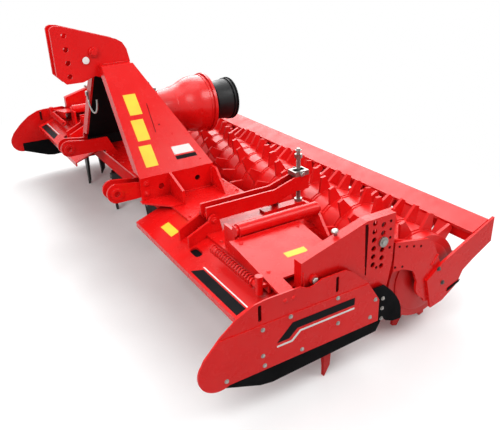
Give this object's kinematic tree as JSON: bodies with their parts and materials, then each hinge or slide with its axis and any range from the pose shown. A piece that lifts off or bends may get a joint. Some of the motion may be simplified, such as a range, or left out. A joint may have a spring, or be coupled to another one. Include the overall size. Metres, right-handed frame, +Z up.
{
  "type": "power harrow",
  "caption": "Tractor-mounted power harrow with counter-turning tine rotors, a levelling bar, hinged side deflectors and a toothed packer roller with scrapers.",
  "frame": {"origin": "middle of the bounding box, on the floor", "axes": "+X to the machine's left, -Y towards the tractor, +Z up"},
  "size_m": [3.06, 1.4039, 1.211],
  "materials": {
    "red_paint": "gloss paint",
    "black_rubber": "matte",
    "black_plastic": "matte",
    "steel": "bare",
    "tine_steel": "dark forged",
    "gearbox_red": "painted casting"
  },
  "bodies": {
    "frame": {"trough": "red_paint", "lid": "red_paint", "gearbox": "gearbox_red", "input_guard": "black_plastic", "rear_bell": "black_rubber", "drive_hook": "steel", "cheeks": "red_paint", "cheek_gussets": "red_paint", "tunnel_sheets": "black_plastic", "top_link_plates": "red_paint", "mast_spacer": "red_paint", "lower_links": "red_paint", "front_guards": "red_paint", "end_brackets": "red_paint", "depth_pins": "steel", "hinge_bases": "red_paint", "lever_brackets": "red_paint", "spindle_feet": "red_paint", "spindles": "steel"},
    "drive_shaft": {"drive_shaft": "steel"},
    "leveller": {"levelling_bar": "red_paint", "lever_arms": "red_paint", "spindle_nuts": "steel"},
    "roller_frame": {"roller_arms": "red_paint", "side_frames": "red_paint", "rear_arms": "red_paint", "rear_beam": "red_paint"},
    "roller": {"roller": "red_paint"},
    "deflector_left": {"deflector_arm_left": "red_paint", "side_plate_left": "red_paint", "skirt_left": "black_rubber", "flap_left": "black_rubber", "spring_left": "red_paint"},
    "deflector_right": {"deflector_arm_right": "red_paint", "side_plate_right": "red_paint", "skirt_right": "black_rubber", "flap_right": "black_rubber", "spring_right": "red_paint"},
    "rotor_1": {"rotor_1": "red_paint", "tines_1": "tine_steel"},
    "rotor_2": {"rotor_2": "red_paint", "tines_2": "tine_steel"},
    "rotor_3": {"rotor_3": "red_paint", "tines_3": "tine_steel"},
    "rotor_4": {"rotor_4": "red_paint", "tines_4": "tine_steel"},
    "rotor_5": {"rotor_5": "red_paint", "tines_5": "tine_steel"},
    "rotor_6": {"rotor_6": "red_paint", "tines_6": "tine_steel"},
    "rotor_7": {"rotor_7": "red_paint", "tines_7": "tine_steel"},
    "rotor_8": {"rotor_8": "red_paint", "tines_8": "tine_steel"},
    "rotor_9": {"rotor_9": "red_paint", "tines_9": "tine_steel"},
    "rotor_10": {"rotor_10": "red_paint", "tines_10": "tine_steel"}
  },
  "joints": [
    {"name": "rotor_1_spin", "type": "hinge", "parent": "frame", "child": "rotor_1", "pos_m": [-1.35, -0.168, 0.3], "axis": [0, 0, 1], "continuous": true},
    {"name": "rotor_2_spin", "type": "hinge", "parent": "frame", "child": "rotor_2", "pos_m": [-1.05, -0.168, 0.3], "axis": [0, 0, 1], "continuous": true},
    {"name": "rotor_3_spin", "type": "hinge", "parent": "frame", "child": "rotor_3", "pos_m": [-0.75, -0.168, 0.3], "axis": [0, 0, 1], "continuous": true},
    {"name": "rotor_4_spin", "type": "hinge", "parent": "frame", "child": "rotor_4", "pos_m": [-0.45, -0.168, 0.3], "axis": [0, 0, 1], "continuous": true},
    {"name": "rotor_5_spin", "type": "hinge", "parent": "frame", "child": "rotor_5", "pos_m": [-0.15, -0.168, 0.3], "axis": [0, 0, 1], "continuous": true},
    {"name": "rotor_6_spin", "type": "hinge", "parent": "frame", "child": "rotor_6", "pos_m": [0.15, -0.168, 0.3], "axis": [0, 0, 1], "continuous": true},
    {"name": "rotor_7_spin", "type": "hinge", "parent": "frame", "child": "rotor_7", "pos_m": [0.45, -0.168, 0.3], "axis": [0, 0, 1], "continuous": true},
    {"name": "rotor_8_spin", "type": "hinge", "parent": "frame", "child": "rotor_8", "pos_m": [0.75, -0.168, 0.3], "axis": [0, 0, 1], "continuous": true},
    {"name": "rotor_9_spin", "type": "hinge", "parent": "frame", "child": "rotor_9", "pos_m": [1.05, -0.168, 0.3], "axis": [0, 0, 1], "continuous": true},
    {"name": "rotor_10_spin", "type": "hinge", "parent": "frame", "child": "rotor_10", "pos_m": [1.35, -0.168, 0.3], "axis": [0, 0, 1], "continuous": true},
    {"name": "drive_shaft_spin", "type": "hinge", "parent": "frame", "child": "drive_shaft", "pos_m": [0, -0.25, 0.735], "axis": [0, 1, 0], "continuous": true},
    {"name": "leveller_height", "type": "hinge", "parent": "frame", "child": "leveller", "pos_m": [0, -0.31, 0.49], "axis": [1, 0, 0], "range_deg": [-4, 5]},
    {"name": "roller_arms", "type": "hinge", "parent": "frame", "child": "roller_frame", "pos_m": [0, -0.231, 0.469], "axis": [-1, 0, 0], "range_deg": [0, 6]},
    {"name": "roller_spin", "type": "hinge", "parent": "roller_frame", "child": "roller", "pos_m": [0, 0.363, 0.25717], "axis": [1, 0, 0], "continuous": true},
    {"name": "deflector_left_swing", "type": "hinge", "parent": "frame", "child": "deflector_left", "pos_m": [1.14, -0.134, 0.53], "axis": [0, -1, 0], "range_deg": [0, 30], "deforming": ["spring_left"]},
    {"name": "deflector_right_swing", "type": "hinge", "parent": "frame", "child": "deflector_right", "pos_m": [-1.14, -0.134, 0.53], "axis": [0, 1, 0], "range_deg": [0, 30], "deforming": ["spring_right"]}
  ],
  "couplings": [
    {"joint": "rotor_2_spin", "follows": "rotor_1_spin", "ratio": -1},
    {"joint": "rotor_3_spin", "follows": "rotor_1_spin", "ratio": 1},
    {"joint": "rotor_4_spin", "follows": "rotor_1_spin", "ratio": -1},
    {"joint": "rotor_5_spin", "follows": "rotor_1_spin", "ratio": 1},
    {"joint": "rotor_6_spin", "follows": "rotor_1_spin", "ratio": -1},
    {"joint": "rotor_7_spin", "follows": "rotor_1_spin", "ratio": 1},
    {"joint": "rotor_8_spin", "follows": "rotor_1_spin", "ratio": -1},
    {"joint": "rotor_9_spin", "follows": "rotor_1_spin", "ratio": 1},
    {"joint": "rotor_10_spin", "follows": "rotor_1_spin", "ratio": -1},
    {"joint": "drive_shaft_spin", "follows": "rotor_1_spin", "ratio": 3}
  ]
}
